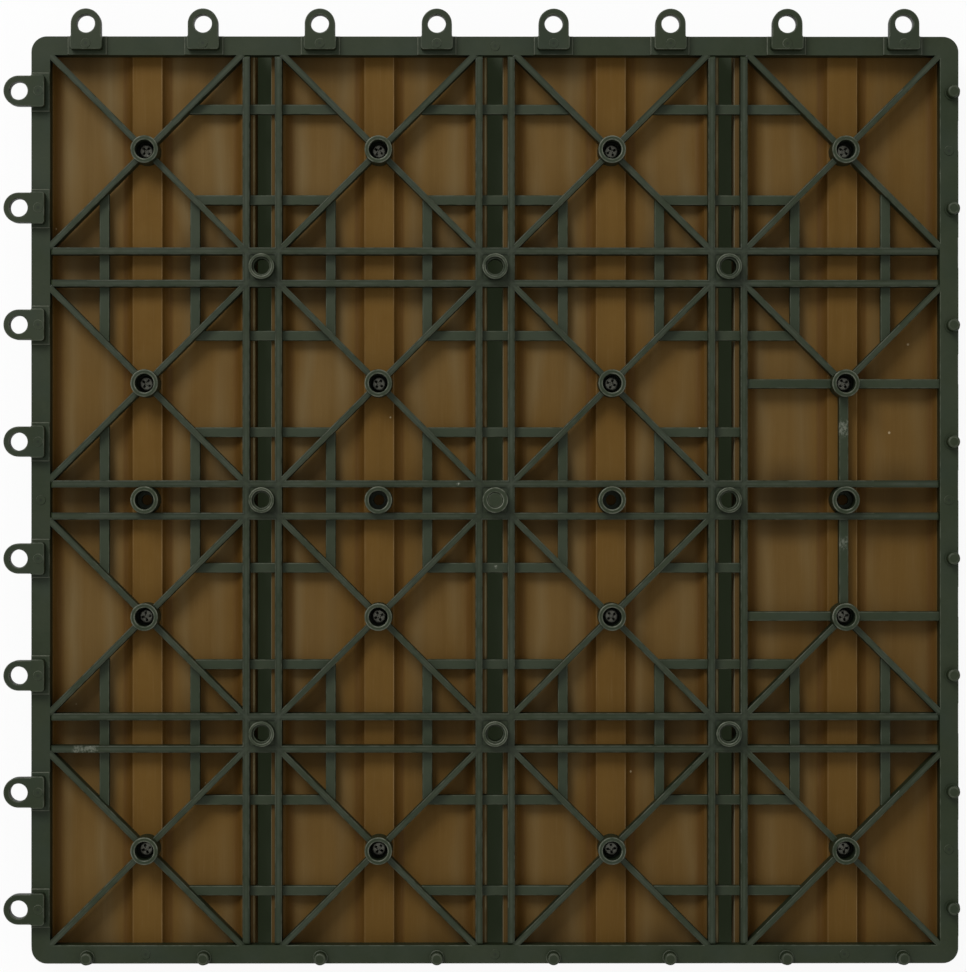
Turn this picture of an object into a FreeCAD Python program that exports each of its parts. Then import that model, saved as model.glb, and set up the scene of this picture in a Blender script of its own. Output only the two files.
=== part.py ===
import FreeCAD, Part
import math
import os

V = FreeCAD.Vector

# An interlocking deck tile, lying deck face down as in the photograph. The slats come first and the
# clip-together base stands on them. Sizes are in mm. The forms are drawn about the middle of the
# slats. The finished tile is then moved so that the origin is the middle of its whole outline,
# loops included, at the level of the deck face.

# Deck slats
slat_count = 4
slat_pitch = 75.0
slat_gap = 5.0
slat_thickness = 12.0
slat_end_inset = 0.6
deck_edge_radius = 1.6
under_edge_radius = 1.0
band_width = 9.6
land_width = 4.6
channel_depth = 2.4
channel_wall_run = 1.4
channel_toe_radius = 3.5
groove_count = 11
groove_pitch = 5.6
groove_width = 2.6
groove_floor_width = 1.8
groove_depth = 0.9

# Border of the base
tile_gap = 1.5
corner_radius = 5.0
border_width = 6.0
border_plate = 2.0
border_wall = 1.6

# Ribs of the base, measured from the underside of the slats
rib_height = 5.5
rib_width = 2.3
rib_offset = 5.2
rib_end_radius = 1.2
diagonal_width = 2.0
strap_height = 2.0
strap_width = 3.2
strap_offset = 15.6
edge_strap_offset = 13.7
bay_rib_height = 4.0
bay_rib_width = 3.0

# Screw bosses
foot_height = 4.5
boss_radius = 4.45
boss_bore_radius = 3.0
boss_floor = 1.5

# Feet at the rib crossings
foot_radius = 4.15
foot_bore_radius = 3.05
foot_bore_depth = 1.6
foot_drain_radius = 2.45
crossing_plate = 2.0
crossing_plate_sink = 0.3
gate_disc_sink = 0.35

# Loops and pegs along the sides
clips_per_slat = 2
loop_reach = 3.55
loop_hole_radius = 2.9
loop_ring_width = 1.95
loop_lift = 0.3
loop_ground_gap = 0.3
pad_width = 10.4
pad_overlap = 4.7
pad_corner_radius = 1.0
pad_step_width = 12.7
pad_step_height = 0.6
peg_radius = 2.05
peg_tip_chamfer = 0.4
peg_collar_radius = 2.45
peg_collar_height = 0.7

# Deck screws
screw_head_radius = 2.6
screw_head_top_radius = 1.9
screw_head_height = 1.7
screw_shank_radius = 1.5
screw_length = 9.5
screw_point = 2.5
screw_hole_clearance = 0.15
pilot_clearance = 0.05
pilot_end_clearance = 0.5

# Levels and positions that follow from the sizes above
slat_width = slat_pitch - slat_gap
tile_pitch = slat_pitch * slat_count
border_half = (tile_pitch - tile_gap) / 2
inner_half = border_half - border_width
slat_length = 2 * (border_half - slat_end_inset)
seat_z = slat_thickness
rib_z = seat_z + rib_height
ground_z = rib_z + foot_height
boss_floor_z = seat_z + boss_floor
loop_low_z = rib_z + loop_lift
loop_high_z = ground_z - loop_ground_gap
loop_centre = border_half + loop_reach
peg_centre = tile_pitch - loop_centre
loop_half_width = loop_hole_radius + loop_ring_width
peg_side_reach = max(border_half, peg_centre + peg_collar_radius)
off_centre = (loop_centre + loop_half_width - peg_side_reach) / 2
rib_outer = rib_offset + rib_width / 2
clip_pitch = slat_pitch / clips_per_slat
clip_count = slat_count * clips_per_slat
rib_lines = [(i - slat_count / 2) * slat_pitch for i in range(1, slat_count)]
cell_lines = [(i - (slat_count - 1) / 2) * slat_pitch for i in range(slat_count)]
clip_lines = [(i - (clip_count - 1) / 2) * clip_pitch for i in range(clip_count)]


# General forms

def rounded_face(corners):
    """A flat face in X and Y from (x, y, radius) corners, each rounded by its own radius."""
    edges = []
    starts, ends = [], []
    count = len(corners)
    for i, (x, y, radius) in enumerate(corners):
        here = V(x, y, 0)
        before = V(*corners[i - 1][:2], 0) - here
        after = V(*corners[(i + 1) % count][:2], 0) - here
        before.normalize()
        after.normalize()
        half_angle = before.getAngle(after) / 2
        cut = radius / math.tan(half_angle)
        starts.append(here + before * cut)
        ends.append(here + after * cut)
        if radius > 0:
            inward = before + after
            inward.normalize()
            middle = here + inward * (radius / math.sin(half_angle) - radius)
            edges.append(Part.Arc(starts[-1], middle, ends[-1]).toShape())
    for i in range(count):
        if ends[i - 1].distanceToPoint(starts[i]) > 1e-6:
            edges.append(Part.LineSegment(ends[i - 1], starts[i]).toShape())
    return Part.Face(Part.Wire(Part.sortEdges(edges)[0]))


def rectangle(x0, x1, y0, y1, radius=0.0):
    """A flat rectangle with equally rounded corners."""
    return rounded_face([(x0, y0, radius), (x1, y0, radius), (x1, y1, radius), (x0, y1, radius)])


def raise_face(face, low, high):
    """A face in X and Y made into a prism between two levels."""
    prism = face.extrude(V(0, 0, high - low))
    prism.translate(V(0, 0, low))
    return prism


def stand_up(face, width):
    """A face drawn in X and Y stood up in X and Z, with a width centred on Y."""
    stood = face.copy()
    stood.rotate(V(0, 0, 0), V(1, 0, 0), 90)
    stood.translate(V(0, width / 2, 0))
    return stood.extrude(V(0, -width, 0))


def turned(profile):
    """A solid turned about Z from (radius, z) points."""
    points = [V(r, 0, z) for r, z in profile]
    return Part.Face(Part.makePolygon(points + points[:1])).revolve(V(0, 0, 0), V(0, 0, 1), 360)


def moved(shape, x, y, turns=0.0):
    """A copy turned about Z by quarter turns at the origin and then moved."""
    copy = shape.copy()
    copy.rotate(V(0, 0, 0), V(0, 0, 1), 90 * turns)
    copy.translate(V(x, y, 0))
    return copy


# Slats

def slat_section():
    """Section across a slat: a grooved deck face below and two broad channels above."""
    half = slat_width / 2
    top, floor = seat_z, seat_z - channel_depth
    inner, outer = band_width / 2, half - land_width
    toe_in, toe_out = inner + channel_wall_run, outer - channel_wall_run
    right = [(half, 0, deck_edge_radius), (half, top, under_edge_radius), (outer, top, 0),
             (toe_out, floor, channel_toe_radius), (toe_in, floor, channel_toe_radius),
             (inner, top, 0)]
    left = [(-x, z, r) for x, z, r in reversed(right)]
    section = rounded_face(right + left)
    wide, narrow = groove_width / 2, groove_floor_width / 2
    grooves = []
    for i in range(groove_count):
        x = (i - (groove_count - 1) / 2) * groove_pitch
        grooves.append(rounded_face([(x - wide, -groove_depth, 0), (x - wide, 0, 0),
                                     (x - narrow, groove_depth, 0), (x + narrow, groove_depth, 0),
                                     (x + wide, 0, 0), (x + wide, -groove_depth, 0)]))
    return section.cut(Part.makeCompound(grooves)).Faces[0]


def make_slat(x):
    """One slat with the blind holes that its screws cut."""
    hole_end = boss_floor_z - screw_length - pilot_end_clearance
    hole = Part.makeCylinder(screw_shank_radius + pilot_clearance, slat_thickness, V(0, 0, hole_end))
    slat = stand_up(slat_section(), slat_length)
    return moved(slat.cut(Part.makeCompound([moved(hole, 0, y) for y in cell_lines])), x, 0)


# Base

def border():
    """The square border: a channel open towards the slats, with rounded outer corners."""
    outer = rectangle(-border_half, border_half, -border_half, border_half, corner_radius)
    inner = rectangle(-inner_half, inner_half, -inner_half, inner_half)
    wall_out, wall_in = border_half - border_wall, inner_half + border_wall
    hollow_radius = max(corner_radius - border_wall, 0.0)
    hollow = rectangle(-wall_out, wall_out, -wall_out, wall_out, hollow_radius)
    hollow = hollow.cut(rectangle(-wall_in, wall_in, -wall_in, wall_in))
    bar = raise_face(outer.cut(inner).Faces[0], seat_z, rib_z)
    return bar.cut(raise_face(hollow.Faces[0], seat_z, rib_z - border_plate))


def rib(length, width, height, start_radius=0.0, end_radius=0.0):
    """An upright rib along X from the origin, its top corners rounded off where asked."""
    side = rounded_face([(0, 0, 0), (length, 0, 0), (length, height, end_radius),
                         (0, height, start_radius)])
    stood = stand_up(side, width)
    stood.translate(V(0, 0, seat_z))
    return stood


def long_ribs():
    """Pairs of ribs from border to border, both ways, with rounded ends."""
    one = rib(2 * inner_half, rib_width, rib_height, rib_end_radius, rib_end_radius)
    ribs = []
    for line in rib_lines:
        for offset in (line - rib_offset, line + rib_offset):
            ribs.append(moved(one, -inner_half, offset))
            ribs.append(moved(one, offset, -inner_half, 1))
    return ribs


def is_bay(i, j, sy):
    """True where a cell at the right border has a square bay on this side of its boss."""
    low = slat_count // 2 - 1
    return i == slat_count - 1 and ((j == low and sy > 0) or (j == low + 1 and sy < 0))


def room(line, side):
    """Distance from a boss line to the face of the next rib pair or of the border."""
    if abs(line + side * slat_pitch) > tile_pitch / 2:
        return inner_half - abs(line)
    return slat_pitch / 2 - rib_outer


def diagonals():
    """Thin ribs from each screw boss towards the corners of its cell."""
    ribs = []
    for i, x in enumerate(cell_lines):
        for j, y in enumerate(cell_lines):
            for sx in (-1, 1):
                for sy in (-1, 1):
                    if is_bay(i, j, sy):
                        continue
                    reach = min(room(x, sx), room(y, sy)) * math.sqrt(2)
                    at_border = max(room(x, sx), room(y, sy)) > slat_pitch / 2 - rib_outer
                    if at_border:
                        one = rib(reach + diagonal_width, diagonal_width, rib_height)
                    else:
                        one = rib(reach + rib_end_radius, diagonal_width, rib_height, 0,
                                  rib_end_radius)
                    ribs.append(moved(one, x, y, math.atan2(sy, sx) / (math.pi / 2)))
    return ribs


def strap(before, after):
    """A flat strap along X, reaching so far on each side of a rib pair's middle."""
    flat = rectangle(-before, after, -strap_width / 2, strap_width / 2)
    return raise_face(flat, seat_z, seat_z + strap_height)


def straps():
    """Flat straps against the slats that tie each rib pair to the diagonals beside it."""
    bars = []
    for i, x in enumerate(cell_lines):
        for sx in (-1, 1):
            outside = abs(x + sx * slat_pitch) > tile_pitch / 2
            offset = edge_strap_offset if outside else strap_offset
            at = x + sx * offset
            reach = slat_pitch / 2 - offset
            for k, line in enumerate(rib_lines):
                into_bay = k == slat_count - 2 and is_bay(slat_count - 1, i, sx)
                bars.append(moved(strap(reach, rib_outer if into_bay else reach), line, at))
                middle = k == slat_count // 2 - 1
                if not (i == slat_count - 1 and middle):
                    bars.append(moved(strap(reach, reach), at, line, 1))
    return bars


def bays():
    """The straight ribs that make the square bays along the right border."""
    x = cell_lines[-1]
    inside = rib_lines[-1] + rib_offset
    reach = slat_pitch / 2
    half = bay_rib_width / 2
    top = seat_z + bay_rib_height
    bars = [raise_face(rectangle(x - half, x + half, -reach, reach), seat_z, top)]
    for y in (-reach, reach):
        flat = rectangle(inside, inner_half + border_wall / 2, y - half, y + half)
        bars.append(raise_face(flat, seat_z, top))
    return bars


def boss_bore():
    """What is cut from a screw boss: the driver's well and the screw's hole through the floor."""
    hole = screw_shank_radius + screw_hole_clearance
    return turned([(0, seat_z - 1), (hole, seat_z - 1), (hole, boss_floor_z),
                   (boss_bore_radius, boss_floor_z), (boss_bore_radius, ground_z + 1),
                   (0, ground_z + 1)])


def foot_bore():
    """What is cut from a foot: a wide mouth and a drain hole right through."""
    step = ground_z - foot_bore_depth
    return turned([(0, seat_z - 1), (foot_drain_radius, seat_z - 1), (foot_drain_radius, step),
                   (foot_bore_radius, step), (foot_bore_radius, ground_z + 1), (0, ground_z + 1)])


def foot():
    """A foot standing on the plate that closes the crossing between four ribs."""
    low = rib_z - crossing_plate_sink - crossing_plate
    plate = rectangle(-rib_outer, rib_outer, -rib_outer, rib_outer)
    plate = raise_face(plate, low, rib_z - crossing_plate_sink)
    return plate.fuse(Part.makeCylinder(foot_radius, ground_z - low, V(0, 0, low)))


def loop():
    """A loop that reaches out over the next tile's border, with its raised pad and step. It
    points along -X and is drawn with the tile's centre at the origin."""
    edge = -border_half
    strap = rectangle(-loop_centre, edge + pad_overlap - pad_corner_radius,
                      -loop_half_width, loop_half_width)
    strap = raise_face(strap, loop_low_z, loop_high_z)
    thickness = loop_high_z - loop_low_z
    end = Part.makeCylinder(loop_half_width, thickness, V(-loop_centre, 0, loop_low_z))
    pad = rectangle(edge, edge + pad_overlap, -pad_width / 2, pad_width / 2, pad_corner_radius)
    pad = raise_face(pad, rib_z - border_plate / 2, loop_high_z)
    step = rectangle(edge, edge + border_width, -pad_step_width / 2, pad_step_width / 2)
    step = raise_face(step, rib_z - border_plate / 2, rib_z + pad_step_height)
    hole = Part.makeCylinder(loop_hole_radius, ground_z, V(-loop_centre, 0, 0))
    return strap.fuse([end, pad, step]).cut(hole)


def peg():
    """A peg with a wider collar at its root, where it stands on the border's outer edge. The next
    tile's loop drops over both."""
    root, shoulder, top = rib_z - border_plate / 2, rib_z + peg_collar_height, loop_high_z
    return turned([(0, root), (peg_collar_radius, root), (peg_collar_radius, shoulder),
                   (peg_radius, shoulder), (peg_radius, top - peg_tip_chamfer),
                   (peg_radius - peg_tip_chamfer, top), (0, top)])


def clips():
    """Loops on the left and top sides, pegs on the right and bottom sides."""
    one_loop, one_peg = loop(), peg()
    parts = []
    for at in clip_lines:
        parts.append(moved(one_loop, 0, at))
        parts.append(moved(moved(one_loop, 0, 0, -1), at, 0))
        parts.append(moved(one_peg, peg_centre, at))
        parts.append(moved(one_peg, at, -peg_centre))
    return parts


def make_base():
    """The whole base, which is one moulding."""
    boss = Part.makeCylinder(boss_radius, ground_z - seat_z, V(0, 0, seat_z))
    post = foot()
    screw_places = [(x, y) for x in cell_lines for y in cell_lines]
    spare_places = [(x, 0.0) for x in cell_lines]
    crossings = [(x, y) for x in rib_lines for y in rib_lines]
    bodies = long_ribs() + diagonals() + straps() + bays() + clips()
    bodies += [moved(boss, x, y) for x, y in screw_places + spare_places]
    bodies += [moved(post, x, y) for x, y in crossings]
    whole = border().multiFuse(bodies)
    cutters = [moved(boss_bore(), x, y) for x, y in screw_places + spare_places]
    gate_z = ground_z - gate_disc_sink
    gate = Part.makeCylinder(foot_drain_radius, gate_disc_sink + 1, V(0, 0, gate_z))
    cutters += [moved(foot_bore(), x, y) for x, y in crossings if (x, y) != (0.0, 0.0)]
    cutters.append(gate)
    return whole.cut(Part.makeCompound(cutters)).removeSplitter()


# Screws

def make_screws():
    """The deck screws as a group of separate solids, heads down on the boss floors."""
    tip = boss_floor_z - screw_length
    head_top = boss_floor_z + screw_head_height
    screw = turned([(0, tip), (screw_shank_radius, tip + screw_point),
                    (screw_shank_radius, boss_floor_z), (screw_head_radius, boss_floor_z),
                    (screw_head_top_radius, head_top), (0, head_top)])
    return Part.makeCompound([moved(screw, x, y) for x in cell_lines for y in cell_lines])


# The finished tile

def save(shape, node):
    """Writes one node, moved so that the whole outline is centred on the origin."""
    moved(shape, off_centre, -off_centre).exportStep("parts/%s.step" % node)


os.makedirs("parts", exist_ok=True)
save(make_base(), "base_grid")
for number, line in enumerate(cell_lines, 1):
    save(make_slat(line), "slat_%d" % number)
save(make_screws(), "deck_screws")
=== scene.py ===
import bmesh
import bpy
import math
from mathutils import Matrix, Vector
from mathutils.kdtree import KDTree


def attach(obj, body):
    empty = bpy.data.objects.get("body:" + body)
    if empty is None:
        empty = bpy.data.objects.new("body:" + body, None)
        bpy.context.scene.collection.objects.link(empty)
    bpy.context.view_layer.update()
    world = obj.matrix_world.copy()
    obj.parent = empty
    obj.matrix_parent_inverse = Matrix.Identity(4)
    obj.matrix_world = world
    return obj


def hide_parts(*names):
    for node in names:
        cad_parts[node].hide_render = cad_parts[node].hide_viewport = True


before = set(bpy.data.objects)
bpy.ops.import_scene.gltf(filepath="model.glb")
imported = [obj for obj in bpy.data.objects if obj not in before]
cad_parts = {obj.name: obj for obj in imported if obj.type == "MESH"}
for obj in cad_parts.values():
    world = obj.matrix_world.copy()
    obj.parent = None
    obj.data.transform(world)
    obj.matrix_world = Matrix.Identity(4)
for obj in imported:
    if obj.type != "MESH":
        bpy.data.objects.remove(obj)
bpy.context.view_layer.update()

# Lengths are in metres, and MM turns millimetres into them. The tile lies deck face down: slats
# first, then the moulded base with its bosses and feet upwards.
MM = 0.001

# Module of the tile, and how far the middle of the slats lies from the origin on each axis
SLAT_PITCH = 75 * MM
SLAT_COUNT = 4
OFF_CENTRE = 4.0 * MM
MIDDLE = Vector((OFF_CENTRE, -OFF_CENTRE, 0))

# Section of a slat. A groove's mouth and floor are given as half widths.
SLAT_HALF = 35 * MM
SLAT_THICK = 12 * MM
SLAT_LENGTH = 297.3 * MM
DECK_EDGE = 1.6 * MM
UNDER_EDGE = 1.0 * MM
BAND_HALF = 4.8 * MM
LAND = 4.6 * MM
CHANNEL_DEPTH = 2.4 * MM
CHANNEL_RUN = 1.4 * MM
CHANNEL_TOE = 3.5 * MM
GROOVE_COUNT = 11
GROOVE_PITCH = 5.6 * MM
GROOVE_MOUTH = 1.3 * MM
GROOVE_FLOOR = 0.9 * MM
GROOVE_DEPTH = 0.9 * MM

# Levels and lines of the base. What faces up below LOW_Z has the straps' paler tone.
LOW_Z = 15.0 * MM
RIB_Z = 17.5 * MM
PAD_STEP_Z = 18.1 * MM
PAD_Z = 21.7 * MM
GROUND_Z = 22.0 * MM
BOSS_FLOOR_Z = 13.5 * MM
INNER_HALF = 143.25 * MM
PAD_STEP_HALF = 6.35 * MM
CLIP_COUNT = 8

# Ejector marks
MARK_LINE = 146.2 * MM
PAD_MARK_LINE = 146.5 * MM
MARK_RADIUS = 1.45 * MM
MARK_HEIGHT = 0.28 * MM

# Deck screws
HEAD_RADIUS = 2.6 * MM
HEAD_TOP_RADIUS = 1.71 * MM
HEAD_HEIGHT = 1.7 * MM
SHANK_RADIUS = 1.5 * MM
SCREW_LENGTH = 9.5 * MM
SCREW_POINT = 2.5 * MM
SCREW_LEAN = 0.012

# Cross recess of a screw: length and width at its top and at its bottom, and the bottom's height
RECESS_TOP = (3.5 * MM, 0.85 * MM)
RECESS_BOTTOM = (1.5 * MM, 0.55 * MM)
RECESS_FLOOR = 0.35 * MM

# Rounding of the edges, and how far it stays from a fold, more with each try
FOOT_ROUNDING = 0.40 * MM
RIB_ROUNDING = 0.35 * MM
SLAT_ROUNDING = 0.2 * MM
SCREW_ROUNDING = 0.07 * MM
ROUNDING_TRIES = 12
TRY_ROOM = 0.12 * MM

# Angles within which faces share their shading, and within which they count as one plane
ROUNDED_SHARE = math.radians(50)
FLAT_SHARE = math.radians(30)
FLAT_ANGLE = math.radians(0.5)

# Points nearer than this are merged, and heights nearer than this are level
WELD = 0.002 * MM
LEVEL_WITHIN = 0.01 * MM

# Rubbed places on the base: centre, radius and strength
SCUFFS = [((116.3 * MM, 19.2 * MM, 16.0 * MM), 3.6 * MM, 0.34),
          ((116.3 * MM, -17.8 * MM, 16.0 * MM), 2.8 * MM, 0.26),
          ((-129.5 * MM, -84.2 * MM, RIB_Z), 3.2 * MM, 0.30),
          ((-125.8 * MM, -84.0 * MM, RIB_Z), 2.4 * MM, 0.34),
          ((-7.9 * MM, 1.2 * MM, RIB_Z), 0.75 * MM, 0.9),
          ((25.6 * MM, 17.4 * MM, 14.0 * MM), 0.70 * MM, 0.7),
          ((4.2 * MM, -25.6 * MM, 14.0 * MM), 0.70 * MM, 0.7)]

# Colours of the base's plastic. The wall and rib side colours are painted shade, the rib middle and
# step rim colours painted highlight, and the rubbed colour is wear with painted highlight on it
PLASTIC_DARK = (0.0132, 0.0215, 0.0072, 1)
PLASTIC_PALE = (0.0190, 0.0280, 0.0106, 1)
PLASTIC_COOL = (0.0160, 0.0262, 0.0142, 1)
PLASTIC_WALL_SHADE = (0.0060, 0.0095, 0.0040, 1)
RIB_SIDE_SHADE = (0.0060, 0.0100, 0.0035, 1)
RIB_MIDDLE_HIGHLIGHT = (0.042, 0.052, 0.035, 1)
STRAP_TOP = (0.0270, 0.0380, 0.0190, 1)
STEP_RIM_HIGHLIGHT = (0.150, 0.158, 0.118, 1)
PLASTIC_WEAR_GLINT = (0.235, 0.245, 0.190, 1)
MARK_PIT = (0.006, 0.009, 0.004, 1)
PLASTIC_DUST = (0.28, 0.28, 0.22, 1)
PLASTIC_SCUFF = (0.30, 0.31, 0.25, 1)

# Colours of the slats' wood-plastic. The corner, channel side, land and blotch colours are painted
# shade, the sheen is painted reflection, and the band rim, edge rim and gap side colours are
# painted highlight
COMPOSITE_DARK = (0.112, 0.056, 0.0075, 1)
COMPOSITE_PALE = (0.128, 0.068, 0.0120, 1)
COMPOSITE_CORNER_SHADE = (0.095, 0.048, 0.0075, 1)
COMPOSITE_SHEEN = (0.156, 0.106, 0.042, 1)
CHANNEL_SIDE_SHADE = (0.080, 0.036, 0.0055, 1)
DARK_STREAK = (0.075, 0.038, 0.009, 1)
PALE_THREAD = (0.20, 0.13, 0.055, 1)
BAND_RIM_HIGHLIGHT = (0.25, 0.165, 0.075, 1)
LAND_SHADE = (0.050, 0.036, 0.014, 1)
COMPOSITE_DUST = (0.34, 0.26, 0.15, 1)
UNDER_RIB_SHADE = (0.042, 0.024, 0.006, 1)
EDGE_RIM_HIGHLIGHT = (0.30, 0.27, 0.15, 1)
GAP_SIDE_LIGHT = (0.26, 0.23, 0.15, 1)
SAWN_END = (0.195, 0.125, 0.050, 1)

# Colours of the screws and the floor. The rubbed steel colour is wear with painted highlight on it,
# and the two colours under the tile are painted shade, the second glowing dimly
STEEL_DARK = (0.085, 0.085, 0.070, 1)
STEEL_PALE = (0.22, 0.22, 0.18, 1)
STEEL_WEAR_GLINT = (0.55, 0.55, 0.48, 1)
FLOOR_PALE = (0.82, 0.82, 0.82, 1)
FLOOR_UNDER_SHADE = (0.020, 0.026, 0.014, 1)
FLOOR_UNDER_SHADE_GLOW = (0.0085, 0.0120, 0.0055, 1)
WHITE = (1, 1, 1, 1)

# Floor, light and camera
FLOOR_HALF = 3.0
FLOOR_Z = -0.02 * MM
UNDER_TILE_HALF = 148.2 * MM
SKY_LOW = 0.32
SKY_HIGH = 0.72
LAMP_PLACE = (-0.60, 1.00, 1.20)
LAMP_SIZE = 0.7
LAMP_POWER = 15.5
LENS = 109.796
CAMERA_PLACE = Vector((-3.0, 0.0, 972.0)) * MM
CAMERA_TARGET = Vector((0.23, 0.52, 22.0)) * MM


# Building node trees

def put(tree, kind, inputs=None, **settings):
    """Adds a node. Each input is given by name or number, as a value or as an output to link."""
    node = tree.nodes.new(kind)
    for key, value in settings.items():
        setattr(node, key, value)
    for key, value in (inputs or {}).items():
        if isinstance(value, bpy.types.NodeSocket):
            tree.links.new(value, node.inputs[key])
        else:
            node.inputs[key].default_value = value
    return node


def new_group(name, kind, inputs, outputs):
    """A node group with named sockets, and its group input and output nodes."""
    tree = bpy.data.node_groups.new(name, kind)
    for label, socket_type, value in inputs:
        socket = tree.interface.new_socket(name=label, in_out="INPUT", socket_type=socket_type)
        if value is not None:
            socket.default_value = value
    for label, socket_type in outputs:
        tree.interface.new_socket(name=label, in_out="OUTPUT", socket_type=socket_type)
    return tree, tree.nodes.new("NodeGroupInput").outputs, tree.nodes.new("NodeGroupOutput").inputs


def math_node(tree, operation, first, second=0.0):
    """The result of one sum on one or two values."""
    return put(tree, "ShaderNodeMath", {0: first, 1: second}, operation=operation).outputs[0]


def times(tree, *values):
    """The product of two or more values."""
    total = values[0]
    for value in values[1:]:
        total = math_node(tree, "MULTIPLY", total, value)
    return total


def larger(tree, first, second):
    """The larger of two values."""
    return math_node(tree, "MAXIMUM", first, second)


def spread(tree, value, low, high, to_low=0.0, to_high=1.0):
    """A value stretched from one range to another and held inside it."""
    limits = {"From Min": low, "From Max": high, "To Min": to_low, "To Max": to_high}
    return put(tree, "ShaderNodeMapRange", {"Value": value, **limits}).outputs["Result"]


def stripe(tree, value, low, high, soft):
    """1 where a value lies between two limits, with soft ends."""
    rise = spread(tree, value, low - soft, low + soft)
    fall = spread(tree, value, high - soft, high + soft, 1.0, 0.0)
    return times(tree, rise, fall)


def mixed(tree, share, first, second):
    """One colour mixed into another."""
    inputs = {0: share, 6: first, 7: second}
    return put(tree, "ShaderNodeMix", inputs, data_type="RGBA").outputs[2]


def parts_of(tree, vector):
    """The X, Y and Z outputs of a vector."""
    return put(tree, "ShaderNodeSeparateXYZ", {"Vector": vector}).outputs


def facing_parts(tree):
    """The X, Y and Z of the way that the surface faces."""
    return parts_of(tree, put(tree, "ShaderNodeNewGeometry").outputs["Normal"])


def vector_math(tree, operation, first, second=(0, 0, 0)):
    """The node for one sum on one or two vectors."""
    return put(tree, "ShaderNodeVectorMath", {0: first, 1: second}, operation=operation)


def noise(tree, vector, scale, detail=3.0, roughness=0.5):
    """Plain noise, from 0 to 1."""
    inputs = {"Vector": vector, "Scale": scale, "Detail": detail, "Roughness": roughness}
    return put(tree, "ShaderNodeTexNoise", inputs).outputs["Fac"]


def long_noise(tree, vector, scales, detail=3.0, roughness=0.5):
    """Noise with its own scale along each axis."""
    stretched = put(tree, "ShaderNodeMapping", {"Vector": vector, "Scale": scales}).outputs[0]
    return noise(tree, stretched, 1.0, detail, roughness)


def from_line(tree, value, middle, half_pitch):
    """How far a value lies from the nearest of evenly spaced lines."""
    shifted = math_node(tree, "SUBTRACT", value, middle)
    return math_node(tree, "PINGPONG", shifted, half_pitch)


def effect(tree, group, inputs):
    """The outputs of a node group that is placed with its own values."""
    return put(tree, "ShaderNodeGroup", inputs, node_tree=group).outputs


# Node groups for the effects

def make_mottle():
    """Soft uneven patches with a finer grain over them, as a value round a half."""
    tree, given, out = new_group(
        "mottle", "ShaderNodeTree",
        [("Vector", "NodeSocketVector", None), ("Patch Size", "NodeSocketFloat", 0.03),
         ("Grain Size", "NodeSocketFloat", 0.002), ("Grain Share", "NodeSocketFloat", 0.3)],
        [("Value", "NodeSocketFloat")])
    patches = noise(tree, given["Vector"], math_node(tree, "DIVIDE", 1.0, given["Patch Size"]), 2.0)
    grain = noise(tree, given["Vector"], math_node(tree, "DIVIDE", 1.0, given["Grain Size"]), 3.0)
    inputs = {0: given["Grain Share"], 2: patches, 3: grain}
    both = put(tree, "ShaderNodeMix", inputs, data_type="FLOAT").outputs[0]
    tree.links.new(spread(tree, both, 0.3, 0.7), out["Value"])
    return tree


def make_edge_wear_and_glint():
    """Where an edge has been rounded and rubbed, and a painted highlight where the rounding catches
    light: the rounded faces, broken up by noise, and more the higher they stand."""
    tree, given, out = new_group(
        "edge_wear_and_glint", "ShaderNodeTree",
        [("Vector", "NodeSocketVector", None), ("Break Size", "NodeSocketFloat", 0.004),
         ("Low Height", "NodeSocketFloat", 0.0), ("High Height", "NodeSocketFloat", 0.001),
         ("Low Wear", "NodeSocketFloat", 0.3), ("High Wear", "NodeSocketFloat", 0.8)],
        [("Mask", "NodeSocketFloat")])
    rounded = put(tree, "ShaderNodeAttribute", attribute_name="edge").outputs["Fac"]
    broken = noise(tree, given["Vector"], math_node(tree, "DIVIDE", 1.0, given["Break Size"]), 3.0)
    broken = spread(tree, broken, 0.35, 0.62, 0.15, 1.0)
    wear = spread(tree, parts_of(tree, given["Vector"])["Z"], given["Low Height"],
                  given["High Height"], given["Low Wear"], given["High Wear"])
    tree.links.new(times(tree, rounded, broken, wear), out["Mask"])
    return tree


def make_dust():
    """Sparse pale specks and a thin film of dust on what faces up."""
    tree, given, out = new_group(
        "dust", "ShaderNodeTree",
        [("Vector", "NodeSocketVector", None), ("Speck Spacing", "NodeSocketFloat", 0.006),
         ("Speck Share", "NodeSocketFloat", 0.05), ("Film", "NodeSocketFloat", 0.1)],
        [("Mask", "NodeSocketFloat")])
    cells = {"Vector": given["Vector"],
             "Scale": math_node(tree, "DIVIDE", 1.0, given["Speck Spacing"])}
    near = put(tree, "ShaderNodeTexVoronoi", cells)
    chosen = put(tree, "ShaderNodeSeparateColor", {"Color": near.outputs["Color"]})
    keep = math_node(tree, "LESS_THAN", chosen.outputs[0], given["Speck Share"])
    size = spread(tree, chosen.outputs[1], 0.0, 1.0, 0.03, 0.075)
    dot = math_node(tree, "LESS_THAN", near.outputs["Distance"], size)
    specks = times(tree, keep, dot, 0.8)
    upward = spread(tree, facing_parts(tree)["Z"], 0.5, 1.0)
    cloud = spread(tree, noise(tree, given["Vector"], 45.0, 4.0, 0.6), 0.35, 0.7)
    film = times(tree, upward, given["Film"], cloud)
    tree.links.new(larger(tree, specks, film), out["Mask"])
    return tree


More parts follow.
